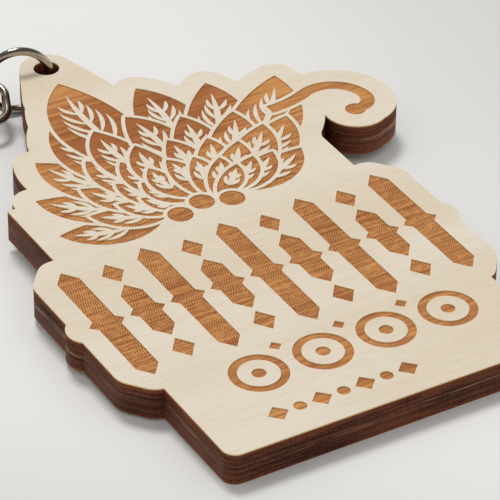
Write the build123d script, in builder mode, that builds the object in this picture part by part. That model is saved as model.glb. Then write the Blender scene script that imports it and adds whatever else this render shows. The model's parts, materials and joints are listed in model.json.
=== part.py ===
from build123d import *
from math import asin, cos, degrees, hypot, radians, sin, sqrt
import os

# A laser-cut plywood key tag with an engraved face and a round contactless
# inlay let into its back, on a jump ring, a short chain and a split ring.
#
# Frame, in millimetres: the origin is the middle of the round label, on the
# tag's back face.  +X runs along the tag's straight bottom edge, +Y up the tag
# to its hole, and +Z out of the engraved face.  The tag lies flat, and the
# hardware lies beside it, a little lower than the back face.

# ---------------------------------------------------------------- the wood
FACE_PLY = 1.1            # thickness of the engraved veneer
CORE_PLY = 0.8            # thickness of the middle veneer
BACK_PLY = 1.1            # thickness of the back veneer
BORDER = 2.0              # bare wood left around every engraved motif
ENGRAVE_DEPTH = 0.12      # depth of the laser engraving

BLOCK_LEFT = -15.7        # the straight block at the foot of the tag
BLOCK_RIGHT = 16.0
BLOCK_BOTTOM = -15.5
BLOCK_TOP = -4.0
BLOCK_CORNER = 1.2        # radius of its two bottom corners

HOLE_X = -1.1             # the hole for the jump ring
HOLE_Y = 43.3
HOLE_RADIUS = 1.2
HOLE_WALL = 1.3           # wood left between the hole and the rounded tip
EAR_BASE = (-1.6, 37.6)   # the tip widens downwards to a round of this radius
EAR_BASE_RADIUS = 4.4

HEART_BOTTOM = -6.0       # bare wood behind the art, from here up to HEART_TOP
HEART_TOP = 24.0
HEART_WIDTH = 30.0

# ------------------------------------------------------------ the engraving
# A dense spray of pointed leaves in rows.  The outer row's tips are chosen one
# by one.  Each row further in has its tips between those of the row outside it.
SPRAY_ROOT = (0.4, 15.6)
OUTER_TIPS = (
    (-12.9, 18.4), (-12.2, 24.2), (-9.4, 29.6), (-5.4, 34.2), (-1.4, 40.4),
    (4.4, 36.2), (10.4, 33.9), (16.6, 31.9), (14.0, 25.4), (12.4, 20.2),
)
LEAF_ROWS = 4
ROW_SHRINK = 0.74         # how much nearer to the root each row's tips are
LEAF_START = 0.3          # where a leaf begins, as a share from root to tip
LEAF_FATNESS = 0.2        # bulge of a leaf's side, as a share of its length
LEAF_SWEEP = 0.075        # how far a leaf bends upwards, by the same measure
VEIN_STEP = 4.6           # a leaf has one more pair of side veins for each step
LEAF_GAP = 0.36           # bare line between two overlapping leaves
RIB_WIDTH = 0.6           # widest part of the bare middle rib
RIB_SPAN = (0.34, 0.88)   # where the rib begins and ends, from base to tip
VEIN_WIDTH = 0.42         # widest part of a side vein
VEIN_SPAN = (0.36, 0.78)  # where the side veins leave the rib
VEIN_REACH = 0.44         # a side vein's length, as a share of what is left of the leaf
VEIN_CURL = 0.1           # how far a side vein bends, as a share of its length
VEIN_LEAN = 25.0          # degrees between a side vein and the rib

# Tendril on the right: it leaves the spray, rises a little and curls downwards.
TENDRIL_ROOT = (13.2, 27.0)
TENDRIL_HEADING = 0.0     # degrees from +X at its root
TENDRIL_ARCS = ((10.5, 24.0), (3.3, -112.0), (1.7, -104.0))  # radius and turn
TENDRIL_WIDTH = 1.3
BERRY_RADIUS = 0.95

# Three berries in a cup where the leaves meet.
CUP_BERRY_RADIUS = 1.15
CUP_BERRIES = ((-2.2, 16.2), (0.4, 17.0), (3.0, 16.2))

# Frieze of upright bars with pointed ends and a lozenge at half height.
BAR_COUNT = 9
BAR_PITCH = 3.85
BAR_WIDTH = 2.1
BAR_POINT = 1.35          # height of a bar's pointed end
BAR_SPUR = 0.62           # how far the lozenge stands out of the bar
BAR_MIDDLE = 5.2          # height of the frieze's middle line
TALL_BAR = 16.4
SHORT_BAR = 8.2
LOZENGE_HEIGHT = 2.9      # above and below each short bar
LOZENGE_GAP = 0.5

# Row of rings, each with a dot, and small lozenges between them.
RING_ROW_Y = -7.0
RING_ROW_X = -8.0
RING_COUNT = 4
RING_STEP = 6.1
RING_OUTER = 2.55
LINE_WIDTH = 0.75
DOT_RADIUS = 0.62
SPACER_HALF = 0.6

# Row of beads near the bottom edge.
BEAD_ROW_Y = -12.4
BEAD_ROW_X = -9.4
BEAD_COUNT = 7
BEAD_STEP = 2.05
BEAD_HALF = 0.95

# ---------------------------------------------------------------- the inlay
LABEL_DIAMETER = 25.0
POCKET_GAP = 0.2          # play around the label in its pocket
LABEL_FILM = 0.12         # the label, the track, the carrier and the adhesive
TRACK_FOIL = 0.08         # are stacked from the back face inwards
CARRIER_FILM = 0.10
ADHESIVE = 0.12
TRACK_WIDTH = 0.45
TRACK_PITCH = 0.8
TRACK_TURNS = 6
TRACK_MARGIN = 0.3        # bare carrier outside the outermost turn
INLAY_INSET = 0.2         # the carrier and the adhesive are this much smaller
CHIP_SIZE = 1.2
BRIDGE_FOIL = 0.05
BRIDGE_SLOT_GAP = 0.15

# ------------------------------------------------------------- the hardware
RING_OD = 7.0             # jump ring: outer diameter and wire
RING_WIRE = 0.8
RING_SEAM = 0.06          # the closed joint where its two ends meet
RING_PLAY = 0.12          # slack between its wire and the hole's lower rim
RING_REACH = 2.7          # from the hole's axis to the ring's centre
RING_HEADING = 165.0      # degrees from +X: the way the ring points
RING_HOOK_LEAN = 12.0     # degrees below level where the first link holds it

LINK_LENGTH = 6.2         # chain link, outside, and its wire
LINK_WIDTH = 4.2
LINK_WIRE = 0.8
LINK_PLAY = 0.12          # slack between two links where they hook together
LINK_HEADINGS = (248.0, 205.0, 150.0, 118.0)
LINK_ROLLS = (0.0, 84.0, -8.0, 88.0)

KEY_OD = 25.0             # split ring: outer diameter
KEY_BAND = 1.6            # radial width of its flat wire
KEY_COIL = 1.05           # thickness of one coil
KEY_COIL_GAP = 0.06       # between the two coils
KEY_CROSSOVER = 40.0      # degrees that the wire takes to change level
KEY_CROSSOVER_PLACE = 215.0   # and where, in degrees round from its far side
RAMP_OVERLAP = 0.4        # how far the crossing wire runs into each level
KEY_PLAY = 0.12           # slack between it and the last link
KEY_HEADING = 112.0


# ------------------------------------------------------------ small helpers
def along(start, end, share, side=0.0):
    """A point at a share of the way from start to end, moved to the left."""
    dx, dy = end[0] - start[0], end[1] - start[1]
    length = hypot(dx, dy)
    x = start[0] + share * dx - side * dy / length
    y = start[1] + share * dy + side * dx / length
    return x, y


def lens(start, end, left, right):
    """The flat shape between two arcs that bulge to the left and right."""
    with BuildSketch() as shape:
        with BuildLine():
            ThreePointArc(start, along(start, end, 0.5, left), end)
            ThreePointArc(end, along(start, end, 0.5, -right), start)
        make_face()
    return shape.sketch


def leaf_lines():
    """Base and tip of every leaf of the spray, the outer row first."""
    tips = list(OUTER_TIPS)
    leaves = []
    for row in range(LEAF_ROWS):
        leaves += [(along(SPRAY_ROOT, tip, LEAF_START), tip) for tip in tips]
        between = [along(a, b, 0.5) for a, b in zip(tips, tips[1:])]
        tips = [along(SPRAY_ROOT, middle, ROW_SHRINK) for middle in between]
    return leaves


def leaf_bulges(base, tip):
    """How far a leaf's left and right sides stand off its straight line."""
    length = hypot(tip[0] - base[0], tip[1] - base[1])
    sweep = LEAF_SWEEP if tip[0] < SPRAY_ROOT[0] else -LEAF_SWEEP
    return (LEAF_FATNESS + sweep) * length, (LEAF_FATNESS - sweep) * length


def leaf_veins(base, tip, left, right):
    """The bare rib and side veins inside one leaf, as thin lenses."""
    length = hypot(tip[0] - base[0], tip[1] - base[1])
    bend = (left - right) / 2

    def spine(share):
        """How far the leaf's bent middle line stands off its straight line."""
        return 4 * bend * share * (1 - share)

    start, end = RIB_SPAN
    arch = spine((start + end) / 2) - (spine(start) + spine(end)) / 2
    veins = [lens(along(base, tip, start, spine(start)), along(base, tip, end, spine(end)),
                  RIB_WIDTH / 2 + arch, RIB_WIDTH / 2 - arch)]
    pairs = 1 + int(length / VEIN_STEP)
    lean = radians(VEIN_LEAN)
    for k in range(pairs):
        share = VEIN_SPAN[0] + (VEIN_SPAN[1] - VEIN_SPAN[0]) * k / pairs
        run = VEIN_REACH * length * (1 - share)
        for side in (1, -1):
            root = along(base, tip, share, spine(share))
            point = along(base, tip, share + run * cos(lean) / length,
                          spine(share) + side * run * sin(lean))
            curl = side * VEIN_CURL * run
            veins.append(lens(root, point, VEIN_WIDTH / 2 + curl, VEIN_WIDTH / 2 - curl))
    return veins


def tendril_stroke():
    """The tendril: tangent arcs, thickened, with a berry where it ends."""
    with BuildSketch() as stroke:
        with BuildLine() as centre:
            start, heading = TENDRIL_ROOT, TENDRIL_HEADING
            for radius, turn in TENDRIL_ARCS:
                tangent = (cos(radians(heading)), sin(radians(heading)))
                arc = JernArc(start, tangent, radius, turn)
                start, heading = arc @ 1, heading + turn
        trace(line_width=TENDRIL_WIDTH)
        with Locations(start):
            Circle(BERRY_RADIUS)
    return stroke.sketch


def bar(height):
    """An upright bar with pointed ends and a lozenge at half height."""
    half, spur = BAR_WIDTH / 2, BAR_WIDTH / 2 + BAR_SPUR
    top, shoulder = height / 2, height / 2 - BAR_POINT
    with BuildSketch() as shape:
        with BuildLine():
            Polyline((0, top), (half, shoulder), (half, BAR_SPUR), (spur, 0),
                     (half, -BAR_SPUR), (half, -shoulder), (0, -top))
            mirror(about=Plane.YZ)
        make_face()
    return shape.sketch


def lozenge(half_width, half_height):
    with BuildSketch() as shape:
        with BuildLine():
            Polyline((0, half_height), (half_width, 0), (0, -half_height),
                     (-half_width, 0), close=True)
        make_face()
    return shape.sketch


def frieze_columns():
    """Every bar and lozenge of the frieze: its shape and its place."""
    columns = []
    for k in range(BAR_COUNT):
        x = (k - (BAR_COUNT - 1) / 2) * BAR_PITCH
        if k % 2 == 0:
            columns.append((bar(TALL_BAR), (x, BAR_MIDDLE)))
        else:
            offset_y = (SHORT_BAR + LOZENGE_HEIGHT) / 2 + LOZENGE_GAP
            columns.append((bar(SHORT_BAR), (x, BAR_MIDDLE)))
            for y in (BAR_MIDDLE - offset_y, BAR_MIDDLE + offset_y):
                columns.append((lozenge(BAR_WIDTH / 2, LOZENGE_HEIGHT / 2), (x, y)))
    return columns


# -------------------------------------------------------- the engraved motifs
leaves = [(base, tip, *leaf_bulges(base, tip)) for base, tip in leaf_lines()]
tendril = tendril_stroke()
columns = frieze_columns()

with BuildSketch() as artwork:
    for number, leaf in enumerate(leaves):
        blade = lens(*leaf)
        if number:
            offset(blade, amount=LEAF_GAP, kind=Kind.ARC, mode=Mode.SUBTRACT)
        with BuildSketch(mode=Mode.PRIVATE) as veined:
            add(blade)
            add(leaf_veins(*leaf), mode=Mode.SUBTRACT)
        add(veined.sketch)
    offset(tendril, amount=LEAF_GAP, kind=Kind.ARC, mode=Mode.SUBTRACT)
    add(tendril)
    with Locations(*CUP_BERRIES):
        Circle(CUP_BERRY_RADIUS + LEAF_GAP, mode=Mode.SUBTRACT)
        Circle(CUP_BERRY_RADIUS)
    for shape, place in columns:
        with Locations(place):
            add(shape)
    for k in range(RING_COUNT):
        with Locations((RING_ROW_X + k * RING_STEP, RING_ROW_Y)):
            Circle(RING_OUTER)
            Circle(RING_OUTER - LINE_WIDTH, mode=Mode.SUBTRACT)
            Circle(DOT_RADIUS)
    for k in range(RING_COUNT - 1):
        with Locations((RING_ROW_X + (k + 0.5) * RING_STEP, RING_ROW_Y + RING_OUTER)):
            add(lozenge(SPACER_HALF, SPACER_HALF))
    for k in range(BEAD_COUNT):
        with Locations((BEAD_ROW_X + k * BEAD_STEP, BEAD_ROW_Y)):
            if k % 2:
                Circle(BEAD_HALF * 0.6)
            else:
                add(lozenge(BEAD_HALF, BEAD_HALF))

# --------------------------------------------------------- the tag's outline
# The laser cuts the wood along a line that keeps BORDER outside every motif.
outer_leaves = leaves[:len(OUTER_TIPS)]

with BuildSketch() as ear:
    with Locations((HOLE_X, HOLE_Y)):
        Circle(HOLE_RADIUS + HOLE_WALL)
    with Locations(EAR_BASE):
        Circle(EAR_BASE_RADIUS)
    make_hull()

with BuildSketch() as outline:
    with Locations(((BLOCK_LEFT + BLOCK_RIGHT) / 2, (BLOCK_BOTTOM + BLOCK_TOP) / 2)):
        Rectangle(BLOCK_RIGHT - BLOCK_LEFT, BLOCK_TOP - BLOCK_BOTTOM)
    fillet(outline.vertices().group_by(Axis.Y)[0], radius=BLOCK_CORNER)
    with Locations((0, (HEART_BOTTOM + HEART_TOP) / 2)):
        Rectangle(HEART_WIDTH, HEART_TOP - HEART_BOTTOM)
    for shape, place in columns:
        with BuildSketch(mode=Mode.PRIVATE) as grown:
            add(shape)
            offset(amount=BORDER, kind=Kind.ARC)
        with Locations(place):
            add(grown.sketch)
    for leaf in outer_leaves:
        offset(lens(*leaf), amount=BORDER, kind=Kind.ARC, mode=Mode.ADD)
    offset(tendril, amount=BORDER, kind=Kind.ARC, mode=Mode.ADD)
    add(ear.sketch)
    with Locations((HOLE_X, HOLE_Y)):
        Circle(HOLE_RADIUS, mode=Mode.SUBTRACT)

# ---------------------------------------------------------------- the plies
CORE_BOTTOM = BACK_PLY
FACE_BOTTOM = BACK_PLY + CORE_PLY
FACE_TOP = BACK_PLY + CORE_PLY + FACE_PLY
POCKET_DEPTH = LABEL_FILM + TRACK_FOIL + CARRIER_FILM + ADHESIVE

with BuildPart() as face_ply:
    with BuildSketch(Plane.XY.offset(FACE_BOTTOM)):
        add(outline.sketch)
    extrude(amount=FACE_PLY)
    with BuildSketch(Plane.XY.offset(FACE_TOP)):
        add(artwork.sketch)
    extrude(amount=-ENGRAVE_DEPTH, mode=Mode.SUBTRACT)

with BuildPart() as core_ply:
    with BuildSketch(Plane.XY.offset(CORE_BOTTOM)):
        add(outline.sketch)
    extrude(amount=CORE_PLY)

with BuildPart() as back_ply:
    with BuildSketch():
        add(outline.sketch)
    extrude(amount=BACK_PLY)
    with BuildSketch():
        Circle(LABEL_DIAMETER / 2 + POCKET_GAP)
    extrude(amount=POCKET_DEPTH, mode=Mode.SUBTRACT)

# ---------------------------------------------------------------- the inlay
TRACK_BOTTOM = LABEL_FILM
CARRIER_BOTTOM = LABEL_FILM + TRACK_FOIL
ADHESIVE_BOTTOM = LABEL_FILM + TRACK_FOIL + CARRIER_FILM
INLAY_RADIUS = LABEL_DIAMETER / 2 - INLAY_INSET
TRACK_OUTER = INLAY_RADIUS - TRACK_MARGIN - TRACK_WIDTH / 2
TRACK_INNER = TRACK_OUTER - TRACK_TURNS * TRACK_PITCH

with BuildPart() as inlay_label:
    with BuildSketch():
        Circle(LABEL_DIAMETER / 2)
    extrude(amount=LABEL_FILM)

# The track is a spiral of half rings about two centres half a pitch apart.
with BuildPart() as inlay_antenna:
    with BuildSketch(Plane.XY.offset(TRACK_BOTTOM)):
        for half_turn in range(2 * TRACK_TURNS):
            radius = TRACK_OUTER - half_turn * TRACK_PITCH / 2
            odd = half_turn % 2
            centre_x = -TRACK_PITCH / 2 if odd else 0
            with BuildLine(mode=Mode.PRIVATE) as run:
                CenterArc((centre_x, 0), radius, 180 if odd else 0, 180)
            trace(run.line, line_width=TRACK_WIDTH)
    extrude(amount=TRACK_FOIL)

# Both ends of the track are on the +X side, and the chip touches the inner one.
CHIP_X = TRACK_INNER - TRACK_WIDTH / 2 - CHIP_SIZE / 2
with BuildPart() as inlay_chip:
    with BuildSketch(Plane.XY.offset(TRACK_BOTTOM)):
        with Locations((CHIP_X, 0)):
            Rectangle(CHIP_SIZE, CHIP_SIZE)
    extrude(amount=TRACK_FOIL)

with BuildPart() as inlay_carrier:
    with BuildSketch(Plane.XY.offset(CARRIER_BOTTOM)):
        Circle(INLAY_RADIUS)
    extrude(amount=CARRIER_FILM)

# A foil bridge on the carrier's other side takes the outer end of the track
# back to the chip, and the adhesive has a slot for it.
BRIDGE_ENDS = (CHIP_X - CHIP_SIZE / 2, TRACK_OUTER + TRACK_WIDTH / 2)
BRIDGE_LENGTH = BRIDGE_ENDS[1] - BRIDGE_ENDS[0]
BRIDGE_MIDDLE = sum(BRIDGE_ENDS) / 2
with BuildPart() as inlay_bridge:
    with BuildSketch(Plane.XY.offset(ADHESIVE_BOTTOM)):
        with Locations((BRIDGE_MIDDLE, 0)):
            Rectangle(BRIDGE_LENGTH, TRACK_WIDTH)
    extrude(amount=BRIDGE_FOIL)

with BuildPart() as inlay_adhesive:
    with BuildSketch(Plane.XY.offset(ADHESIVE_BOTTOM)):
        Circle(INLAY_RADIUS)
        with Locations((BRIDGE_MIDDLE, 0)):
            Rectangle(BRIDGE_LENGTH + 2 * BRIDGE_SLOT_GAP,
                      TRACK_WIDTH + 2 * BRIDGE_SLOT_GAP, mode=Mode.SUBTRACT)
    extrude(amount=ADHESIVE)

# ------------------------------------------------------------- the jump ring
# The ring stands on edge through the hole.  Its inner side comes closest to the
# hole's lower rim, on the side of the hole towards the ring's centre.
RING_RADIUS = (RING_OD - RING_WIRE) / 2        # of the wire's centre line
RING_LIFT = sqrt((RING_OD / 2 - RING_WIRE - RING_PLAY) ** 2
                 - (RING_REACH - HOLE_RADIUS) ** 2)
REST_LEVEL = RING_LIFT - RING_OD / 2           # the surface all hardware lies on


def compass(heading, climb=0.0):
    """The unit vector at a heading in the XY plane and a climb above it."""
    h, c = radians(heading), radians(climb)
    return Vector(cos(c) * cos(h), cos(c) * sin(h), sin(c))


ring_centre = Vector(HOLE_X, HOLE_Y, RING_LIFT) + compass(RING_HEADING) * RING_REACH
ring_section = Plane(origin=ring_centre, x_dir=compass(RING_HEADING), z_dir=(0, 0, 1))
seam_turn = degrees(RING_SEAM / RING_RADIUS)

with BuildPart() as jump_ring:
    with BuildSketch(ring_section):
        with Locations((-RING_RADIUS, 0)):
            Circle(RING_WIRE / 2)
    revolve(axis=Axis(ring_centre, ring_section.y_dir), revolution_arc=360 - seam_turn)

# ----------------------------------------------------------------- the chain
# Each link hooks round the end wire of the one before it.  A link's axis is
# level, apart from the first one's, which slopes down from the jump ring.
LINK_REACH = (LINK_LENGTH - LINK_WIRE) / 2     # from a link's centre to its end wire
LINK_HALF = (LINK_WIDTH - LINK_WIRE) / 2       # from its axis to its side wire
LINK_HOOK = LINK_WIRE + LINK_PLAY              # between two hooked wires
LINK_STEP = 2 * LINK_REACH - LINK_HOOK
LINK_LEVEL = REST_LEVEL + LINK_WIDTH / 2       # height of the level links' axes
RING_HOOK_LEVEL = RING_LIFT - RING_RADIUS * sin(radians(RING_HOOK_LEAN))
FIRST_SLOPE = degrees(asin((RING_HOOK_LEVEL - LINK_LEVEL) / LINK_STEP))


def link_plane(centre, axis, roll):
    """A link's own plane: x along the link, y across it, rolled about x."""
    left = Vector(-axis.Y, axis.X, 0).normalized()
    across = left * cos(radians(roll)) + axis.cross(left) * sin(radians(roll))
    return Plane(origin=centre, x_dir=axis, z_dir=axis.cross(across))


def chain_link(plane):
    """An oval link of round wire, lying in the plane."""
    straight = LINK_REACH - LINK_HALF
    with BuildPart() as link:
        with BuildLine(plane) as centre_line:
            Line((0, LINK_HALF), (straight, LINK_HALF))
            ThreePointArc((straight, LINK_HALF), (LINK_REACH, 0), (straight, -LINK_HALF))
            Line((straight, -LINK_HALF), (-straight, -LINK_HALF))
            ThreePointArc((-straight, -LINK_HALF), (-LINK_REACH, 0),
                          (-straight, LINK_HALF))
            Line((-straight, LINK_HALF), (0, LINK_HALF))
        with BuildSketch(Plane(origin=centre_line.line @ 0, z_dir=centre_line.line % 0)):
            Circle(LINK_WIRE / 2)
        sweep()
    return link


def round_end(plane, next_axis):
    """Where the next link, drawn that way, holds this link's round end."""
    pull = (next_axis - plane.z_dir * next_axis.dot(plane.z_dir)).normalized()
    return plane.origin + plane.x_dir * (LINK_REACH - LINK_HALF) + pull * LINK_HALF


link_axes = [compass(heading) for heading in LINK_HEADINGS]
link_axes[0] = compass(LINK_HEADINGS[0], -FIRST_SLOPE)
chain_links, link_planes, link_pivots = [], [], []
pivot = ring_centre + compass(RING_HEADING, -RING_HOOK_LEAN) * RING_RADIUS
for number, (axis, roll) in enumerate(zip(link_axes, LINK_ROLLS)):
    if number:
        pivot = round_end(link_planes[-1], axis)
    plane = link_plane(pivot + axis * (LINK_REACH - LINK_HOOK), axis, roll)
    link_pivots.append(pivot)
    link_planes.append(plane)
    chain_links.append(chain_link(plane))

# ------------------------------------------------------------- the split ring
# Its wire runs most of a turn on the lower level, crosses over and runs most
# of a turn on the upper level, so both levels lie inside the last link.  The
# ring leans: its near side is held up by the link, and its far side lies down.
KEY_RADIUS = (KEY_OD - KEY_BAND) / 2
KEY_HEIGHT = 2 * KEY_COIL + KEY_COIL_GAP
LINK_INNER = LINK_HALF - LINK_WIRE / 2         # radius inside a link's round end
SEAT_DEPTH = sqrt((LINK_INNER - KEY_PLAY) ** 2 - (KEY_HEIGHT / 2) ** 2)
BAND_FROM_PIVOT = LINK_HALF - SEAT_DEPTH + KEY_BAND / 2
KEY_DROP = LINK_LEVEL - KEY_HEIGHT / 2 - REST_LEVEL
KEY_SLOPE = degrees(asin(KEY_DROP / (2 * KEY_RADIUS)))
CROSSOVER_HALF = KEY_RADIUS * sin(radians(KEY_CROSSOVER / 2))

key_pivot = link_planes[-1].origin + link_planes[-1].x_dir * LINK_REACH
band_centre = key_pivot - link_planes[-1].x_dir * BAND_FROM_PIVOT
key_centre = band_centre + compass(KEY_HEADING, -KEY_SLOPE) * KEY_RADIUS
key_left = compass(KEY_HEADING + 90)
key_plane = Plane(origin=key_centre, x_dir=compass(KEY_HEADING, -KEY_SLOPE),
                  z_dir=compass(KEY_HEADING, -KEY_SLOPE).cross(key_left))


def key_spoke(turn):
    """A plane through the ring's axis: x outwards at that turn, y up the axis."""
    outwards = key_plane.x_dir * cos(radians(turn)) + key_plane.y_dir * sin(radians(turn))
    return Plane(origin=key_centre, x_dir=outwards, z_dir=outwards.cross(key_plane.z_dir))


coil_start = KEY_CROSSOVER_PLACE + KEY_CROSSOVER / 2
coil_level = (KEY_COIL + KEY_COIL_GAP) / 2     # above and below the ring's middle
ramp_plane = Plane(origin=key_centre, x_dir=key_spoke(KEY_CROSSOVER_PLACE + 90).x_dir,
                   z_dir=key_spoke(KEY_CROSSOVER_PLACE).x_dir)

with BuildPart() as key_ramp:
    with BuildSketch(ramp_plane):
        with BuildLine():
            low, high = KEY_HEIGHT / 2 - KEY_COIL, KEY_HEIGHT / 2
            near, far = CROSSOVER_HALF, CROSSOVER_HALF + RAMP_OVERLAP
            Polyline((-far, -high), (-near, -high), (near, low), (far, low),
                     (far, high), (near, high), (-near, -low), (-far, -low), close=True)
        make_face()
    extrude(amount=KEY_OD)
    with BuildSketch(key_plane):
        Circle(KEY_OD / 2)
        Circle(KEY_OD / 2 - KEY_BAND, mode=Mode.SUBTRACT)
    extrude(amount=KEY_HEIGHT, both=True, mode=Mode.INTERSECT)

with BuildPart() as split_ring:
    for level in (-coil_level, coil_level):
        with BuildSketch(key_spoke(coil_start)):
            with Locations((KEY_RADIUS, level)):
                Rectangle(KEY_BAND, KEY_COIL)
        revolve(axis=Axis(key_centre, key_plane.z_dir), revolution_arc=360 - KEY_CROSSOVER)
    add(key_ramp.part)

# ------------------------------------------------------------------- writing
os.makedirs("parts", exist_ok=True)
pieces = {
    "face_ply": face_ply, "core_ply": core_ply, "back_ply": back_ply,
    "inlay_label": inlay_label, "inlay_antenna": inlay_antenna,
    "inlay_chip": inlay_chip, "inlay_carrier": inlay_carrier,
    "inlay_bridge": inlay_bridge, "inlay_adhesive": inlay_adhesive,
    "jump_ring": jump_ring,
}
for number, link in enumerate(chain_links, start=1):
    pieces[f"chain_link_{number}"] = link
pieces["split_ring"] = split_ring
for name, piece in pieces.items():
    piece.part.label = name
    export_step(piece.part, f"parts/{name}.step")
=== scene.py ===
import json
import math

import bpy
import numpy as np
from bpy.props import FloatProperty, FloatVectorProperty, IntProperty, PointerProperty
from mathutils import Matrix, Vector


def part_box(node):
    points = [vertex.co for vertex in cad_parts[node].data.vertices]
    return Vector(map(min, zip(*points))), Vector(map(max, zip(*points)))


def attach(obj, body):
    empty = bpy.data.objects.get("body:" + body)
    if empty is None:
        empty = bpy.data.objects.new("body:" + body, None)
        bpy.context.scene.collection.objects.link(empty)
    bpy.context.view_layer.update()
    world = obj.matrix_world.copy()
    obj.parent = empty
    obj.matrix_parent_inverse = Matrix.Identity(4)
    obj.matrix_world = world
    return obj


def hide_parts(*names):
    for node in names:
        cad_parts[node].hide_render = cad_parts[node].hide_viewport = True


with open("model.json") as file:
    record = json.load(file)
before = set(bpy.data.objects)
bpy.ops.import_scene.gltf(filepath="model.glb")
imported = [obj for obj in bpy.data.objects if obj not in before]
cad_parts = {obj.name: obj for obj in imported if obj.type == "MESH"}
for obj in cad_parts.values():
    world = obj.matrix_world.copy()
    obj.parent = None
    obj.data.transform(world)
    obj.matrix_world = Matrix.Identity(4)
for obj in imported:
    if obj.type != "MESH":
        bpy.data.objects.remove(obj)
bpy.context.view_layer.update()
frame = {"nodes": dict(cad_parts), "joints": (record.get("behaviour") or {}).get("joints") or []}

bl_info = {
    "name": "Engraved plywood key tag",
    "version": (1, 0, 0),
    "blender": (4, 5, 0),
    "location": "View3D > Sidebar > Key tag",
    "description": "Dresses a laser-engraved plywood key tag with its ring, chain and inlay",
    "category": "Object",
}

MM = 0.001
# Middle and half sizes, in millimetres, of the patch that the laser burnt deepest.
HOT_PLACE = (2.0, 31.0)
HOT_SIZE = (13.0, 8.0)
# Heights of the plies and of the engraving's floor, in millimetres.
FACE_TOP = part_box("face_ply")[1].z / MM
FACE_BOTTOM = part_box("face_ply")[0].z / MM
CORE_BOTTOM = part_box("core_ply")[0].z / MM
BACK_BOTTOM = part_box("back_ply")[0].z / MM
ENGRAVED = max(v.co.z / MM for v in frame["nodes"]["face_ply"].data.vertices
               if v.co.z / MM < FACE_TOP - 0.02)

JOINTS = {joint["name"]: joint for joint in frame["joints"]}


def tone(code):
    """A colour written as RRGGBB, as the linear values that a shader takes."""
    shares = [int(code[k:k + 2], 16) / 255 for k in (0, 2, 4)]
    return tuple(s / 12.92 if s <= 0.04045 else ((s + 0.055) / 1.055) ** 2.4
                 for s in shares)


def colour_property(name, description, code):
    return FloatVectorProperty(name=name, description=description, subtype="COLOR",
                               size=3, min=0.0, max=1.0, default=tone(code))


def length_property(name, description, millimetres):
    return FloatProperty(name=name, description=description, subtype="DISTANCE",
                         unit="LENGTH", min=0.0, precision=5,
                         default=millimetres * MM)


def angle_property(name, description, degrees):
    return FloatProperty(name=name, description=description, subtype="ANGLE",
                         unit="ROTATION", default=math.radians(degrees))


def power_property(name, description, watts):
    return FloatProperty(name=name, description=description, unit="POWER", min=0.0,
                         default=watts)


def count_property(name, description, low, high, number):
    return IntProperty(name=name, description=description, min=low, max=high,
                       default=number)


# ------------------------------------------------------------------ node maths
class Wire:
    """An output socket.  Arithmetic on wires adds Math nodes."""

    def __init__(self, graph, socket):
        self.graph, self.socket = graph, socket

    def beside(self, name):
        """Another output of the same node."""
        return Wire(self.graph, self.socket.node.outputs[name])

    def __add__(self, other):
        return self.graph.maths("ADD", self, other)

    def __radd__(self, other):
        return self.graph.maths("ADD", other, self)

    def __sub__(self, other):
        return self.graph.maths("SUBTRACT", self, other)

    def __rsub__(self, other):
        return self.graph.maths("SUBTRACT", other, self)

    def __mul__(self, other):
        return self.graph.maths("MULTIPLY", self, other)

    def __rmul__(self, other):
        return self.graph.maths("MULTIPLY", other, self)

    def __truediv__(self, other):
        return self.graph.maths("DIVIDE", self, other)

    def __rtruediv__(self, other):
        return self.graph.maths("DIVIDE", other, self)


class Graph:
    """Adds nodes to a node tree and joins them up."""

    def __init__(self, tree):
        self.tree = tree

    def node(self, kind, settings=None, inputs=None, output=None):
        """One new node: its settings first, then its sockets by name or place."""
        item = self.tree.nodes.new(kind)
        for name, value in (settings or {}).items():
            if name == "items":
                while len(item.index_switch_items) < value:
                    item.index_switch_items.new()
            else:
                setattr(item, name, value)
        for name, value in (inputs or {}).items():
            if isinstance(name, int):
                socket = item.inputs[name]
            else:
                named = [s for s in item.inputs if s.name == name]
                socket = next((s for s in named if s.enabled), named[0])
            if isinstance(value, Wire):
                self.tree.links.new(value.socket, socket)
            elif socket.type == "RGBA":
                socket.default_value = (*value, 1.0)
            else:
                socket.default_value = value
        found = [s for s in item.outputs if s.enabled and output in (None, s.name)]
        return Wire(self, found[0]) if found else item

    def maths(self, operation, *values):
        return self.node("ShaderNodeMath", {"operation": operation},
                         dict(enumerate(values)))

    def vector_maths(self, operation, *values):
        return self.node("ShaderNodeVectorMath", {"operation": operation},
                         dict(enumerate(values)))

    def axes(self, vector):
        x = self.node("ShaderNodeSeparateXYZ", inputs={"Vector": vector}, output="X")
        return x, x.beside("Y"), x.beside("Z")

    def step(self, value, low, high):
        """0 below low, 1 above high, and a smooth slope between."""
        return self.node("ShaderNodeMapRange", {"interpolation_type": "SMOOTHSTEP"},
                         {"Value": value, "From Min": low, "From Max": high})

    def band(self, value, middle, half, soft):
        """1 within half of middle, falling to 0 over soft on each side."""
        off = self.maths("ABSOLUTE", value - middle)
        return 1.0 - self.step(off, half, half + soft)


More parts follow.
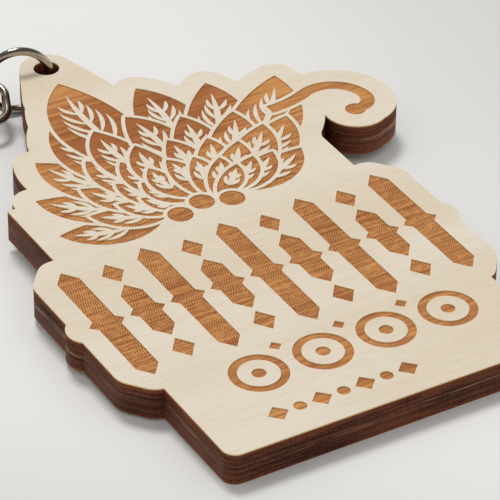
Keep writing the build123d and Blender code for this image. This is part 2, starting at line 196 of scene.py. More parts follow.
class Surface(Graph):
    """A material whose patterns are laid out in millimetres of the object."""

    def __init__(self, name):
        self.material = bpy.data.materials.new(name)
        self.material.use_nodes = True
        super().__init__(self.material.node_tree)
        self.tree.nodes.clear()
        place = self.node("ShaderNodeTexCoord", output="Object")
        self.place = self.node("ShaderNodeVectorMath", {"operation": "SCALE"},
                               {"Vector": place, "Scale": 1 / MM})
        self.facing = place.beside("Normal")

    def noise(self, stretch, detail, roughness, shift):
        """Noise from 0 to 1 whose grains per millimetre are given along X, Y and Z."""
        at = self.vector_maths("MULTIPLY_ADD", self.place, stretch,
                               (shift, shift * 0.7, -shift * 0.4))
        return self.node("ShaderNodeTexNoise", None,
                         {"Vector": at, "Scale": 1.0, "Detail": detail,
                          "Roughness": roughness}, "Fac")

    def mix(self, share, first, second):
        return self.node("ShaderNodeMix", {"data_type": "RGBA"},
                         {"Factor": share, "A": first, "B": second})

    def shade(self, colour, amount):
        """The colour times a grey amount."""
        grey = self.node("ShaderNodeCombineXYZ", None,
                         {"X": amount, "Y": amount, "Z": amount})
        return self.vector_maths("MULTIPLY", colour, grey)

    def bump(self, height, depth_mm, strength):
        return self.node("ShaderNodeBump", None,
                         {"Height": height, "Distance": depth_mm * MM,
                          "Strength": strength})

    def finish(self, **sockets):
        """A Principled shader with these sockets goes to the material's output."""
        shader = self.node("ShaderNodeBsdfPrincipled", None,
                           {name.replace("_", " "): value
                            for name, value in sockets.items()})
        self.node("ShaderNodeOutputMaterial", None, {"Surface": shader})
        return self.material


# ---------------------------------------------------------------------- the wood
class WoodSettings(bpy.types.PropertyGroup):
    face_pale: colour_property("Face, pale", "Pale tone of the bare birch face", "E0D6C6")
    face_warm: colour_property("Face, warm", "Warmer tone in the bare face", "D8CAB2")
    face_fleck: colour_property("Face flecks", "Short fibre flecks in the face", "C2A882")
    burn_light: colour_property("Engraving, light", "Lightest laser-browned streaks", "D2975B")
    burn_middle: colour_property("Engraving, middle", "Main engraved tone", "A3653A")
    burn_dark: colour_property("Engraving, dark", "Dashes burnt by the laser lines", "6A2C0E")
    # Engraving rim: partly real golden scorch, partly painted light. It is made much brighter
    # than the scorch so that walls standing in shade look lit.
    rim_scorch_and_painted_light: colour_property("Engraving, rim", "Golden walls of the engraving", "F6DC9E")
    char_dark: colour_property("Cut edge, dark", "Charred cut edge", "3D1E12")
    char_brown: colour_property("Cut edge, brown", "Browner parts of the cut edge", "7F4A32")
    char_red: colour_property("Cut edge, rim", "Scorched line along both faces", "A0522C")
    core_tan: colour_property("Core streaks", "Less burnt streaks of the core", "B08A62")
    raster_pitch: length_property("Laser line pitch", "From one laser line to the next", 0.225)
    fibre_pitch: length_property("Fibre pitch", "From one row of burnt dashes to the next",
                                 0.5)
    grain_width: length_property("Grain width", "Width of a grain streak", 0.45)


def bare_birch(s, wood, shift, darker=1.0):
    """Colour and bump height of a bare birch face whose grain runs along X."""
    cloud = s.noise((0.03, 0.12, 0.12), 2.0, 0.5, shift)
    fibre = s.noise((0.25, 4.2, 4.2), 4.0, 0.6, shift + 3)
    fine = s.noise((1.1, 11.0, 11.0), 2.0, 0.6, shift + 8)
    fleck = s.step(s.noise((0.75, 7.5, 7.5), 1.0, 0.4, shift + 5), 0.62, 0.76)
    warm = s.step(cloud * 0.6 + fibre * 0.4, 0.36, 0.68)
    colour = s.mix(warm, wood.face_pale, wood.face_warm)
    colour = s.mix(fleck * 0.30, colour, wood.face_fleck)
    colour = s.shade(colour, (0.97 + fine * 0.05) * darker)
    return colour, fibre * 0.6 + fine * 0.4


def engraved_birch(s, wood):
    """Colour and bump height of the laser-browned floor of the engraving."""
    x, y, _ = s.axes(s.place)
    grain = MM / wood.grain_width
    streak = s.noise((0.08, grain, grain), 4.0, 0.6, 11.0)
    broad = s.noise((0.05, 0.20, 0.20), 2.0, 0.5, 17.0)
    patches = s.noise((0.5, 1.5, 1.5), 2.0, 0.6, 31.0)
    across = (x - HOT_PLACE[0]) / HOT_SIZE[0]
    along = (y - HOT_PLACE[1]) / HOT_SIZE[1]
    reach = s.maths("SQRT", across * across + along * along)
    heat = 1.0 - s.step(reach + broad * 0.6, 0.7, 1.5)
    dashed = s.band(y + patches * 8.0, 14.0, 10.0, 9.0)
    foot = 1.0 - s.step(y, -8.0, 0.0)
    tint = s.step(streak * 0.8 + broad * 0.2 + heat * 0.22 + dashed * 0.04 + foot * 0.10,
                  0.42, 0.76)
    colour = s.mix(tint, wood.burn_light, wood.burn_middle)
    vein = s.step(s.noise((0.05, 1.3, 1.3), 5.0, 0.65, 37.0), 0.50, 0.72)
    colour = s.mix(vein * (0.18 + heat * 0.56), colour, wood.burn_dark)
    # Short dashes across the grain, row by row, each row shifted by its own amount.
    pitch, fibre = wood.raster_pitch / MM, wood.fibre_pitch / MM
    row = y / fibre + s.noise((0.10, 0.45, 0.45), 1.0, 0.5, 23.0) * 3.0
    number = s.maths("FLOOR", row)
    within = s.band(row - number, 0.5, 0.36, 0.14)
    shift = s.maths("SINE", number * 91.7) * 0.5 - (row - number) * 0.50
    lines = s.maths("SINE", (x / pitch + shift) * (2 * math.pi)) * 0.5 + 0.5
    cells = s.noise((1.6, 1.8, 1.8), 1.0, 0.5, 29.0)
    dash = s.step(cells * 0.7 + patches * 0.3, 0.36, 0.54)
    depth = s.step(lines, 0.20, 0.60) * within * (0.40 + dash * 0.60)
    colour = s.mix(depth * (0.16 + dashed * 0.56), colour, wood.burn_dark)
    return colour, 1.0 - depth


def cut_edge(s, wood):
    """Colour and bump height of the laser-cut edge, by height through the plies."""
    z = s.axes(s.place)[2]
    wavy = z + (s.noise((0.35, 0.35, 0.1), 2.0, 0.5, 41.0) - 0.5) * 0.10
    run = s.noise((0.16, 0.16, 0.4), 2.0, 0.55, 43.0)
    strata = s.noise((0.15, 0.15, 5.5), 4.0, 0.6, 47.0)
    scan = s.noise((7.0, 7.0, 0.35), 2.0, 0.55, 53.0)
    speck = s.noise((6.0, 6.0, 9.0), 2.0, 0.6, 59.0)
    colour = s.mix(s.step(run * 0.25 + strata * 0.45 + speck * 0.3, 0.40, 0.60),
                   wood.char_dark, wood.char_brown)
    core_middle = (CORE_BOTTOM + FACE_BOTTOM) / 2
    core_half = (FACE_BOTTOM - CORE_BOTTOM) / 2
    core = s.band(wavy, core_middle, core_half * 0.45, core_half * 0.4)
    streaks = s.step(s.noise((0.13, 0.13, 3.0), 3.0, 0.6, 61.0), 0.53, 0.66)
    colour = s.mix(core * streaks * 0.85, colour, wood.core_tan)
    for glue in (CORE_BOTTOM, FACE_BOTTOM):
        colour = s.mix(s.band(wavy, glue, 0.02, 0.07) * 0.85, colour,
                       wood.char_dark)
    rim = s.step(z, FACE_TOP - 0.5, FACE_TOP - 0.1) * (0.2 + run * 0.6)
    colour = s.mix(rim, colour, wood.char_red)
    foot = (1.0 - s.step(z, BACK_BOTTOM + 0.02, BACK_BOTTOM + 0.26)) * (0.25 + run * 0.7)
    colour = s.mix(foot, colour, wood.char_red)
    colour = s.shade(colour, 0.78 + scan * 0.44)
    # Painted light: the walls of the engraving and the top of the outer edge take the bright
    # golden rim colour. This is partly real scorch and partly a lift for walls that stand in
    # shade.
    painted_light_band = s.step(z, ENGRAVED - 0.03, ENGRAVED + 0.02)
    colour = s.mix(painted_light_band * 0.9, colour, wood.rim_scorch_and_painted_light)
    return colour, scan * 0.6 + strata * 0.4


def wood_surface(name, wood, shift, darker=1.0, engraved=False):
    """A ply's material: its flat faces and the cut edge round it."""
    s = Surface(name)
    flat = s.maths("ABSOLUTE", s.axes(s.facing)[2])
    wall = 1.0 - s.step(flat, 0.4, 0.6)
    colour, height = bare_birch(s, wood, shift, darker)
    height = height * 0.5
    rough = 0.62 - wall * 0.10
    if engraved:
        z = s.axes(s.place)[2]
        burnt, burnt_height = engraved_birch(s, wood)
        sunk = 1.0 - s.step(z, ENGRAVED + 0.02, FACE_TOP - 0.02)
        colour = s.mix(sunk, colour, burnt)
        height = height * (1.0 - sunk) + burnt_height * sunk
        rough = rough + sunk * 0.2
    edge, edge_height = cut_edge(s, wood)
    colour = s.mix(wall, colour, edge)
    height = height * (1.0 - wall) + edge_height * wall * 1.6
    return s.finish(Base_Color=colour, Roughness=rough,
                    Normal=s.bump(height, 0.02, 0.5), Specular_IOR_Level=0.15)


def dress(node, material):
    """A CAD node keeps its shape and takes a new material."""
    mesh = frame["nodes"][node].data
    mesh.materials.clear()
    mesh.materials.append(material)


class KEYTAG_OT_wood(bpy.types.Operator):
    """Gives the three plies their birch, engraving and charred edges"""
    bl_idname = "keytag.wood"
    bl_label = "Plywood"

    def execute(self, context):
        wood = context.scene.keytag_wood
        dress("face_ply", wood_surface("face_birch", wood, 0.0, engraved=True))
        dress("core_ply", wood_surface("core_birch", wood, 60.0, 0.9))
        dress("back_ply", wood_surface("back_birch", wood, 90.0, 0.93))
        return {"FINISHED"}


# --------------------------------------------------------------------- the inlay
class InlaySettings(bpy.types.PropertyGroup):
    film_white: colour_property("Label film", "White film over the inlay", "EDEDE8")
    foil_grey: colour_property("Foil", "Etched aluminium foil", "C9CACB")
    chip_black: colour_property("Chip", "Moulded chip", "1B1B1D")
    carrier_grey: colour_property("Carrier", "Clear carrier film, seen as grey", "D5D8D4")
    glue_milk: colour_property("Adhesive", "Milky adhesive", "D0CBB8")
    track_pitch: length_property("Track pitch", "From one turn of the track to the next", 0.8)
    track_inner: length_property("Track inside", "Radius inside the innermost turn", 6.7)
    track_outer: length_property("Track outside", "Radius outside the outermost turn", 12.0)


def label_film(inlay):
    """White film in which the turns of the track underneath just show."""
    s = Surface("label_film")
    x, y, _ = s.axes(s.place)
    radius = s.maths("SQRT", x * x + y * y)
    turn = s.maths("ARCTAN2", y, x) / (2 * math.pi)
    pitch = inlay.track_pitch / MM
    coil = s.maths("SINE", (radius / pitch + turn) * (2 * math.pi)) * 0.5 + 0.5
    inner, outer = inlay.track_inner / MM, inlay.track_outer / MM
    outside = s.step(radius, outer - 0.3, outer)
    within = s.step(radius, inner, inner + 0.3) * (1.0 - outside)
    ridge = s.step(coil, 0.3, 0.8) * within
    orange_peel = s.noise((2.2, 2.2, 2.2), 2.0, 0.5, 5.0)
    smudge = s.noise((0.12, 0.16, 0.12), 3.0, 0.6, 9.0)
    colour = s.shade(s.mix(ridge * 0.10, inlay.film_white,
                           inlay.foil_grey), 0.96 + smudge * 0.05)
    return s.finish(Base_Color=colour, Roughness=0.30 + smudge * 0.16,
                    Normal=s.bump(ridge * 0.8 + orange_peel * 0.12, 0.02, 0.5),
                    Coat_Weight=0.15, Coat_Roughness=0.2)


def foil_surface(inlay):
    s = Surface("antenna_foil")
    rolled = s.noise((0.4, 9.0, 9.0), 3.0, 0.6, 2.0)
    return s.finish(Base_Color=s.shade(inlay.foil_grey, 0.85 + rolled * 0.25),
                    Metallic=1.0, Roughness=0.25 + rolled * 0.2,
                    Normal=s.bump(rolled, 0.004, 0.4))


def moulded_surface(name, colour, rough, grains):
    """A smooth moulded or poured material with a little mottle."""
    s = Surface(name)
    mottle = s.noise((grains, grains, grains), 3.0, 0.6, 4.0)
    return s.finish(Base_Color=s.shade(colour, 0.9 + mottle * 0.2),
                    Roughness=rough + mottle * 0.12, Normal=s.bump(mottle, 0.005, 0.4))


class KEYTAG_OT_inlay(bpy.types.Operator):
    """Gives the contactless inlay its film, foil, chip, carrier and adhesive"""
    bl_idname = "keytag.inlay"
    bl_label = "Contactless inlay"

    def execute(self, context):
        inlay = context.scene.keytag_inlay
        foil = foil_surface(inlay)
        dress("inlay_label", label_film(inlay))
        dress("inlay_antenna", foil)
        dress("inlay_bridge", foil)
        for node, name, colour, rough, grains in (
                ("inlay_chip", "chip_black", inlay.chip_black, 0.3, 6.0),
                ("inlay_carrier", "carrier_film", inlay.carrier_grey, 0.2, 0.5),
                ("inlay_adhesive", "adhesive_milk", inlay.glue_milk, 0.6, 1.5)):
            dress(node, moulded_surface(name, colour, rough, grains))
        return {"FINISHED"}


# ------------------------------------------------------------------ the hardware
class HardwareSettings(bpy.types.PropertyGroup):
    nickel: colour_property("Nickel", "Bright nickel plate", "B4AB9E")
    nickel_dark: colour_property("Nickel, dull", "Duller patches of the plate", "7C7367")
    seam: length_property("Wire seam", "Gap where a bent wire's two ends meet", 0.04)
    wire_sides: count_property("Wire sides", "Sides of a round wire", 8, 64, 28)
    ring_steps: count_property("Jump ring steps", "Steps round its wire", 32, 512, 128)
    bend_steps: count_property("Link bend steps", "Steps in each bend of a link", 4, 64, 20)
    key_band: length_property("Split ring band", "Width of its flat wire", 1.6)
    key_gap: length_property("Split ring gap", "Slit between its two coils", 0.06)
    key_edge: length_property("Split ring edge", "Rounding of its flat wire", 0.26)
    key_start: angle_property("Split ring start", "Where its wire begins", 55.0)
    key_run: angle_property("Split ring run", "Part of a turn that stays level", 320.0)
    key_crossing: angle_property("Split ring crossing", "Part of a turn that rises", 40.0)
    key_steps: count_property("Split ring steps", "Steps along its wire", 60, 800, 420)


def nickel_surface(name, hardware, rough, shift):
    """Bright plate with soft dull patches and fine hairline scratches."""
    s = Surface(name)
    dull = s.step(s.noise((0.5, 0.5, 0.5), 3.0, 0.6, shift), 0.45, 0.75)
    hair = s.noise((0.8, 26.0, 9.0), 2.0, 0.6, shift + 6)
    pit = s.step(s.noise((5.0, 5.0, 5.0), 1.0, 0.5, shift + 9), 0.66, 0.78)
    colour = s.mix(dull * 0.40 + pit * 0.3, hardware.nickel,
                   hardware.nickel_dark)
    return s.finish(Base_Color=colour, Metallic=1.0,
                    Roughness=rough + dull * 0.10 + pit * 0.12 + hair * 0.05,
                    Normal=s.bump(hair * 0.5 + dull * 0.5 - pit, 0.006, 0.35))


def own_frame(node, towards, oblong=False):
    """A node's own frame: Z its axis, X from its middle to the side towards a point.

    X follows the long side of an oblong node.  Returns the matrix and the node's
    sizes along the frame's axes.
    """
    mesh = frame["nodes"][node].data
    mesh.calc_loop_triangles()
    corners = np.array([v.co for v in mesh.vertices], float)
    faces = np.array([t.vertices for t in mesh.loop_triangles])
    a, b, c = (corners[faces[:, k]] for k in range(3))
    normals = np.cross(b - a, c - a)
    areas = np.linalg.norm(normals, axis=1)
    middles = (a + b + c) / 3
    centre = (middles * areas[:, None]).sum(0) / areas.sum()
    spread = ((middles - centre) * areas[:, None]).T @ (middles - centre)
    thin, _, along = np.linalg.eigh(spread)[1].T
    axis = thin
    units = normals / np.maximum(areas, 1e-20)[:, None]
    sharp = np.abs(units @ axis) > 0.995
    if areas[sharp].sum() > 0.25 * areas.sum():
        axis = (units * (areas * sharp * np.sign(units @ axis))[:, None]).sum(0)
    axis = Vector(axis).normalized()
    if axis.z < 0:
        axis.negate()
    pull = Vector(towards) - Vector(centre)
    side = Vector(along) if oblong else pull
    side = (side - side.dot(axis) * axis).normalized()
    if side.dot(pull) < 0:
        side.negate()
    turned = Matrix((side, axis.cross(side), axis)).to_4x4()
    local = np.array([turned @ Vector(co) for co in corners])
    low, high = local.min(0), local.max(0)
    turned.transpose()
    turned.translation = turned @ Vector((low + high) / 2)
    return turned, Vector(high - low)


def wire_tree(name, shape):
    """A Geometry Nodes tree that sweeps a round wire along the path that shape adds."""
    tree = bpy.data.node_groups.new(name, "GeometryNodeTree")
    sizes = {}
    for label in ("Length", "Width", "Wire", "Seam", "Sides", "Steps", "Finish"):
        kind = {"Sides": "NodeSocketInt", "Steps": "NodeSocketInt",
                "Finish": "NodeSocketMaterial"}.get(label, "NodeSocketFloat")
        sizes[label] = tree.interface.new_socket(label, in_out="INPUT", socket_type=kind)
    tree.interface.new_socket("Geometry", in_out="OUTPUT", socket_type="NodeSocketGeometry")
    g = Graph(tree)
    first = g.node("NodeGroupInput")
    given = {label: first.beside(label) for label in sizes}
    path = shape(g, given)
    round_wire = g.node("GeometryNodeCurvePrimitiveCircle", {"mode": "RADIUS"},
                        {"Resolution": given["Sides"], "Radius": given["Wire"] * 0.5})
    finish_tree(g, path, round_wire, given["Finish"])
    return tree, {label: socket.identifier for label, socket in sizes.items()}


def finish_tree(g, path, profile, material):
    """Sweeps the profile along the path, smooth, realized and with its material."""
    swept = g.node("GeometryNodeCurveToMesh", None,
                   {"Curve": path, "Profile Curve": profile, "Fill Caps": True})
    smooth = g.node("GeometryNodeSetShadeSmooth", None, {"Geometry": swept})
    real = g.node("GeometryNodeRealizeInstances", None, {"Geometry": smooth})
    done = g.node("GeometryNodeSetMaterial", None,
                  {"Geometry": real, "Material": material})
    g.node("NodeGroupOutput", None, {"Geometry": done})


def oval_path(g, given):
    """Once round an oval link, from and back to the middle of one long side."""
    reach = (given["Length"] - given["Wire"]) * 0.5
    half = (given["Width"] - given["Wire"]) * 0.5
    gap = given["Seam"] * 0.5
    places = [(gap, half), (reach, half), (reach, 0.0 - half), (0.0 - reach, 0.0 - half),
              (0.0 - reach, half), (0.0 - gap, half)]
    index = g.node("GeometryNodeInputIndex")
    corners = {0: index}
    for k, (x, y) in enumerate(places, start=1):
        corners[k] = g.node("ShaderNodeCombineXYZ", None, {"X": x, "Y": y})
    place = g.node("GeometryNodeIndexSwitch", {"data_type": "VECTOR", "items": len(places)},
                   corners)
    line = g.node("GeometryNodeMeshLine", None, {"Count": len(places)})
    line = g.node("GeometryNodeSetPosition", None, {"Geometry": line, "Position": place})
    curve = g.node("GeometryNodeMeshToCurve", None, {"Mesh": line})
    return g.node("GeometryNodeFilletCurve", {"mode": "POLY"},
                  {"Curve": curve, "Count": given["Steps"], "Radius": half,
                   "Limit Radius": True})


def round_path(g, given):
    """An open ring whose seam is on the +X side."""
    radius = (given["Length"] - given["Wire"]) * 0.5
    seam = given["Seam"] / radius
    return g.node("GeometryNodeCurveArc", {"mode": "RADIUS"},
                  {"Resolution": given["Steps"], "Radius": radius,
                   "Start Angle": seam * 0.5, "Sweep Angle": 2 * math.pi - seam})


def coil_tree():
    """A Geometry Nodes tree for a split ring: a flat wire on two levels."""
    tree = bpy.data.node_groups.new("split_ring_coil", "GeometryNodeTree")
    kinds = {"Diameter": "Float", "Band": "Float", "Coil": "Float", "Lift": "Float",
             "Edge": "Float", "Start": "Float", "Run": "Float", "Crossing": "Float",
             "Steps": "Int", "Finish": "Material"}
    sizes = {label: tree.interface.new_socket(label, in_out="INPUT",
                                              socket_type="NodeSocket" + kind)
             for label, kind in kinds.items()}
    tree.interface.new_socket("Geometry", in_out="OUTPUT", socket_type="NodeSocketGeometry")
    g = Graph(tree)
    first = g.node("NodeGroupInput")
    given = {label: first.beside(label) for label in sizes}
    whole = given["Run"] * 2.0 + given["Crossing"]
    travelled = g.node("GeometryNodeInputIndex") / (given["Steps"] - 1.0) * whole
    rise = g.node("ShaderNodeMapRange", {"interpolation_type": "SMOOTHSTEP"},
                  {"Value": travelled, "From Min": given["Run"],
                   "From Max": given["Run"] + given["Crossing"]})
    turn = given["Start"] + travelled
    radius = (given["Diameter"] - given["Band"]) * 0.5
    place = g.node("ShaderNodeCombineXYZ", None,
                   {"X": g.maths("COSINE", turn) * radius,
                    "Y": g.maths("SINE", turn) * radius,
                    "Z": (rise - 0.5) * given["Lift"]})
    line = g.node("GeometryNodeMeshLine", None, {"Count": given["Steps"]})
    line = g.node("GeometryNodeSetPosition", None, {"Geometry": line, "Position": place})
    curve = g.node("GeometryNodeMeshToCurve", None, {"Mesh": line})
    curve = g.node("GeometryNodeSetCurveNormal", {"mode": "Z_UP"}, {"Curve": curve})
    section = g.node("GeometryNodeCurvePrimitiveQuadrilateral", None,
                     {"Width": given["Band"], "Height": given["Coil"]})
    section = g.node("GeometryNodeFilletCurve", {"mode": "POLY"},
                     {"Curve": section, "Count": 4, "Radius": given["Edge"],
                      "Limit Radius": True})
    finish_tree(g, curve, section, given["Finish"])
    return tree, {label: socket.identifier for label, socket in sizes.items()}


def grown(name, tree, identifiers, values, place):
    """Runs a tree once and returns a plain mesh object with its place in its mesh."""
    source = bpy.data.objects.new(name + "_source", bpy.data.meshes.new(name + "_source"))
    bpy.context.scene.collection.objects.link(source)
    modifier = source.modifiers.new("shape", "NODES")
    modifier.node_group = tree
    for label, value in values.items():
        modifier[identifiers[label]] = value
    bpy.context.view_layer.update()
    depsgraph = bpy.context.evaluated_depsgraph_get()
    mesh = bpy.data.meshes.new_from_object(source.evaluated_get(depsgraph),
                                           preserve_all_data_layers=True,
                                           depsgraph=depsgraph)
    bpy.data.objects.remove(source)
    if not mesh.polygons:
        raise RuntimeError(f"{name} has no faces")
    mesh.name = name
    mesh.transform(place)
    piece = bpy.data.objects.new(name, mesh)
    bpy.context.scene.collection.objects.link(piece)
    return piece


def joint_place(name):
    return Vector(JOINTS[name]["pos_m"])


# A ring's or link's wire is as thick as the piece is high, which is sizes.z below.
class KEYTAG_OT_jump_ring(bpy.types.Operator):
    """Bends the round-wire ring that goes through the tag's hole"""
    bl_idname = "keytag.jump_ring"
    bl_label = "Jump ring"

    def execute(self, context):
        hardware = context.scene.keytag_hardware
        place, sizes = own_frame("jump_ring", joint_place("jump_ring_turn"))
        tree, identifiers = wire_tree("round_ring", round_path)
        ring = grown("jump_ring_wire", tree, identifiers, {
            "Length": sizes.y, "Width": sizes.y, "Wire": sizes.z,
            "Seam": hardware.seam, "Sides": hardware.wire_sides,
            "Steps": hardware.ring_steps,
            "Finish": nickel_surface("ring_nickel", hardware, 0.13, 2.0)}, place)
        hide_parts("jump_ring")
        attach(ring, "jump_ring")
        return {"FINISHED"}


class KEYTAG_OT_chain(bpy.types.Operator):
    """Bends the oval links of the chain"""
    bl_idname = "keytag.chain"
    bl_label = "Chain"

    def execute(self, context):
        hardware = context.scene.keytag_hardware
        finish = nickel_surface("chain_nickel", hardware, 0.16, 12.0)
        tree, identifiers = wire_tree("oval_link", oval_path)
        links = sorted(node for node in frame["nodes"] if node.startswith("chain_link_"))
        ends = [joint["pos_m"] for joint in frame["joints"][1:]]
        for node, (near, far) in zip(links, zip(ends, ends[1:])):
            place, sizes = own_frame(node, far, oblong=True)
            link = grown(node + "_wire", tree, identifiers, {
                "Length": sizes.x, "Width": sizes.y, "Wire": sizes.z,
                "Seam": hardware.seam, "Sides": hardware.wire_sides,
                "Steps": hardware.bend_steps, "Finish": finish}, place)
            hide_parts(node)
            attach(link, node)
        return {"FINISHED"}


class KEYTAG_OT_split_ring(bpy.types.Operator):
    """Winds the flat wire of the split ring on its two levels"""
    bl_idname = "keytag.split_ring"
    bl_label = "Split ring"

    def execute(self, context):
        hardware = context.scene.keytag_hardware
        place, sizes = own_frame("split_ring", joint_place("split_ring_swing"))
        coil = (sizes.z - hardware.key_gap) / 2
        tree, identifiers = coil_tree()
        ring = grown("split_ring_wire", tree, identifiers, {
            "Diameter": sizes.y, "Band": hardware.key_band, "Coil": coil,
            "Lift": coil + hardware.key_gap, "Edge": hardware.key_edge,
            "Start": hardware.key_start, "Run": hardware.key_run,
            "Crossing": hardware.key_crossing, "Steps": hardware.key_steps,
            "Finish": nickel_surface("key_ring_nickel", hardware, 0.15, 22.0)}, place)
        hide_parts("split_ring")
        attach(ring, "split_ring")
        return {"FINISHED"}


# --------------------------------------------------------------------- the stage
class StageSettings(bpy.types.PropertyGroup):
    floor_colour: colour_property("Floor", "Pale floor", "E7E7E6")
    # Painted shade: a darker floor tone towards +X and towards -X-Y, standing in for light that
    # falls off across the floor.
    floor_painted_shade: colour_property("Floor, darker", "Tone towards two of its sides", "D4D4D1")
    floor_side: length_property("Floor side", "Length of a side of the floor", 1600.0)
    key_power: power_property("Key lamp", "Power of the main lamp, at the back", 20.6)
    fill_power: power_property("Fill lamp", "Power of the soft lamp in front", 0.65)
    sky: FloatProperty(name="Sky light", description="Strength of the light from above",
                       min=0.0, max=2.0, default=0.725)
    sky_low: FloatProperty(name="Low sky", description="Share of it from the horizon",
                           subtype="FACTOR", min=0.0, max=1.0, default=0.12)


def floor_surface(stage):
    s = Surface("floor_pale")
    x, y, _ = s.axes(s.place)
    drift = s.noise((0.012, 0.012, 0.012), 1.0, 0.5, 3.0) * 12.0
    tooth = s.noise((3.0, 3.0, 3.0), 2.0, 0.5, 7.0)
    # Painted shade: the floor darkens towards +X and towards -X-Y, standing in for uneven light
    # across it.
    shade = s.step(x + drift, 14.0, 54.0) + s.step(0.0 - x - y, 10.0, 55.0)
    colour = s.mix(shade, stage.floor_colour, stage.floor_painted_shade)
    return s.finish(Base_Color=colour, Roughness=0.42, Specular_IOR_Level=0.5,
                    Normal=s.bump(tooth, 0.01, 0.15))


FLOOR_CELLS = 16


def add_floor(stage):
    """A floor on which the tag's lower edge and the lowest hardware lie."""
    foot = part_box("back_ply")[0]
    foot = Vector((0.0, foot.y, foot.z))
    lying = (vertex.co for node in frame["nodes"] if "ring" in node or "link" in node
             for vertex in frame["nodes"][node].data.vertices)
    slope = max(math.atan2(foot.z - co.z, co.y - foot.y) for co in lying)
    mesh = bpy.data.meshes.new("floor")
    half = stage.floor_side / 2
    ticks = [half * (2 * k / FLOOR_CELLS - 1) for k in range(FLOOR_CELLS + 1)]
    corners = [(x, y, 0.0) for y in ticks for x in ticks]
    wide = len(ticks)
    firsts = (row * wide + column for row in range(FLOOR_CELLS)
              for column in range(FLOOR_CELLS))
    quads = [(k, k + 1, k + wide + 1, k + wide) for k in firsts]
    mesh.from_pydata(corners, [], quads)
    mesh.transform(Matrix.Translation(foot) @ Matrix.Rotation(-slope, 4, "X"))
    mesh.materials.append(floor_surface(stage))
    floor = bpy.data.objects.new("floor", mesh)
    bpy.context.scene.collection.objects.link(floor)


# The lamps' places and diameters in metres, and their tints.  Both aim at AIM.
AIM = (0.0, 0.015, 0.0)
KEY_LAMP = {"place": (0.20, 0.92, 1.84), "size": 0.60, "tint": (1.0, 0.985, 0.96)}
FILL_LAMP = {"place": (-1.68, -1.10, 1.20), "size": 1.60, "tint": (1.0, 0.97, 0.94)}


def add_lamp(name, power, place, size, tint):
    data = bpy.data.lights.new(name, "AREA")
    data.shape = "DISK"
    data.size = size
    data.energy = power
    data.color = tint
    lamp = bpy.data.objects.new(name, data)
    back = (Vector(place) - Vector(AIM)).normalized()
    turned = back.to_track_quat("Z", "Y").to_matrix().to_4x4()
    lamp.matrix_world = Matrix.Translation(place) @ turned
    bpy.context.scene.collection.objects.link(lamp)


def add_sky(stage):
    """Soft light from all round, bright above and darker at the sides.

    The camera and what mirrors see a pale horizon below a darker ceiling instead.
    """
    world = bpy.data.worlds.new("studio")
    bpy.context.scene.world = world
    world.use_nodes = True
    g = Graph(world.node_tree)
    g.tree.nodes.clear()
    height = g.axes(g.node("ShaderNodeTexCoord", output="Generated"))[2]
    bright = g.step(height, 0.0, 0.8) * (1.0 - stage.sky_low) + stage.sky_low
    light = g.node("ShaderNodeBackground", None,
                   {"Color": (1.0, 0.995, 0.985), "Strength": bright * stage.sky})
    pale = g.node("ShaderNodeBackground", None,
                  {"Color": tone("EDEDED"),
                   "Strength": 1.0 - g.step(height, 0.10, 0.55) * 0.85})
    camera = g.node("ShaderNodeLightPath", output="Is Camera Ray")
    mirrored = g.maths("MAXIMUM", camera.beside("Is Glossy Ray"),
                       camera.beside("Is Transmission Ray"))
    seen = g.maths("MAXIMUM", camera, mirrored)
    both = g.node("ShaderNodeMixShader", None, {0: seen, 1: light, 2: pale})
    g.node("ShaderNodeOutputWorld", None, {"Surface": both})


# The camera: its place in millimetres, its azimuth, elevation and roll in degrees,
# and its focal length as a share of the sensor's width.
CAMERA_PLACE = (-123.5, -198.7, 169.2)
CAMERA_AZIMUTH = -30.85
CAMERA_ELEVATION = 34.55
CAMERA_ROLL = 0.73
CAMERA_FOCAL = 6.868
SENSOR = 36.0


def add_camera():
    data = bpy.data.cameras.new("camera")
    data.sensor_width = SENSOR
    data.lens = CAMERA_FOCAL * SENSOR
    data.clip_start = 0.01
    data.clip_end = 10.0
    camera = bpy.data.objects.new("camera", data)
    azimuth, elevation = math.radians(CAMERA_AZIMUTH), math.radians(CAMERA_ELEVATION)
    right = Vector((math.cos(azimuth), math.sin(azimuth), 0.0))
    ahead = Vector((-math.sin(azimuth), math.cos(azimuth), 0.0))
    back = -ahead * math.cos(elevation) + Vector((0.0, 0.0, math.sin(elevation)))
    up = back.cross(right)
    roll = math.radians(CAMERA_ROLL)
    right, up = (right * math.cos(roll) + up * math.sin(roll),
                 up * math.cos(roll) - right * math.sin(roll))
    turned = Matrix((right, up, back)).transposed().to_4x4()
    camera.matrix_world = Matrix.Translation(Vector(CAMERA_PLACE) * MM) @ turned
    bpy.context.scene.collection.objects.link(camera)
    bpy.context.scene.camera = camera


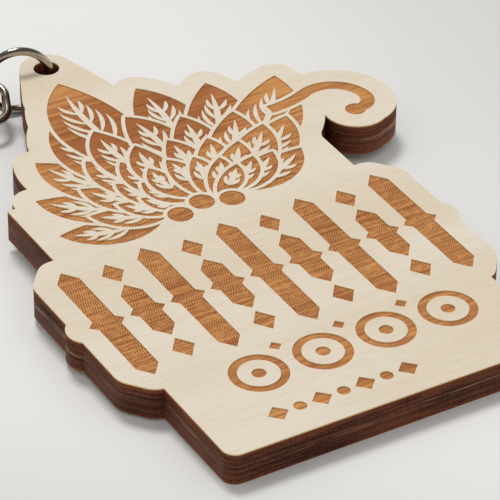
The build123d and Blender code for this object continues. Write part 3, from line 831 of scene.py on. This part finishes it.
class KEYTAG_OT_stage(bpy.types.Operator):
    """Lays the floor and sets the lamps, the sky and the camera"""
    bl_idname = "keytag.stage"
    bl_label = "Stage"

    def execute(self, context):
        stage = context.scene.keytag_stage
        context.scene.view_settings.view_transform = "Standard"
        add_floor(stage)
        add_sky(stage)
        add_lamp("key_lamp", stage.key_power, **KEY_LAMP)
        add_lamp("fill_lamp", stage.fill_power, **FILL_LAMP)
        add_camera()
        return {"FINISHED"}


# --------------------------------------------------------------- the add-on's rest
class KEYTAG_PT_panel(bpy.types.Panel):
    """Lists the key tag's settings and the steps that dress it"""
    bl_idname = "KEYTAG_PT_panel"
    bl_label = "Key tag"
    bl_space_type = "VIEW_3D"
    bl_region_type = "UI"
    bl_category = "Key tag"

    def draw(self, context):
        for label, settings, operators in PARTS:
            box = self.layout.box()
            box.label(text=label)
            group = getattr(context.scene, settings)
            for name in group.__annotations__:
                box.prop(group, name)
            for operator in operators:
                box.operator(operator.bl_idname)


SETTINGS = {
    "keytag_wood": WoodSettings,
    "keytag_inlay": InlaySettings,
    "keytag_hardware": HardwareSettings,
    "keytag_stage": StageSettings,
}
PARTS = (
    ("Plywood", "keytag_wood", (KEYTAG_OT_wood,)),
    ("Inlay", "keytag_inlay", (KEYTAG_OT_inlay,)),
    ("Hardware", "keytag_hardware",
     (KEYTAG_OT_jump_ring, KEYTAG_OT_chain, KEYTAG_OT_split_ring)),
    ("Stage", "keytag_stage", (KEYTAG_OT_stage,)),
)
CLASSES = (*SETTINGS.values(), *(op for part in PARTS for op in part[2]), KEYTAG_PT_panel)


def register():
    for item in CLASSES:
        bpy.utils.register_class(item)
    for name, settings in SETTINGS.items():
        setattr(bpy.types.Scene, name, PointerProperty(type=settings))


def unregister():
    for name in SETTINGS:
        delattr(bpy.types.Scene, name)
    for item in reversed(CLASSES):
        bpy.utils.unregister_class(item)


def main():
    register()
    bpy.ops.keytag.stage()
    bpy.ops.keytag.wood()
    bpy.ops.keytag.inlay()
    bpy.ops.keytag.jump_ring()
    bpy.ops.keytag.chain()
    bpy.ops.keytag.split_ring()


if __name__ == "__main__":
    main()
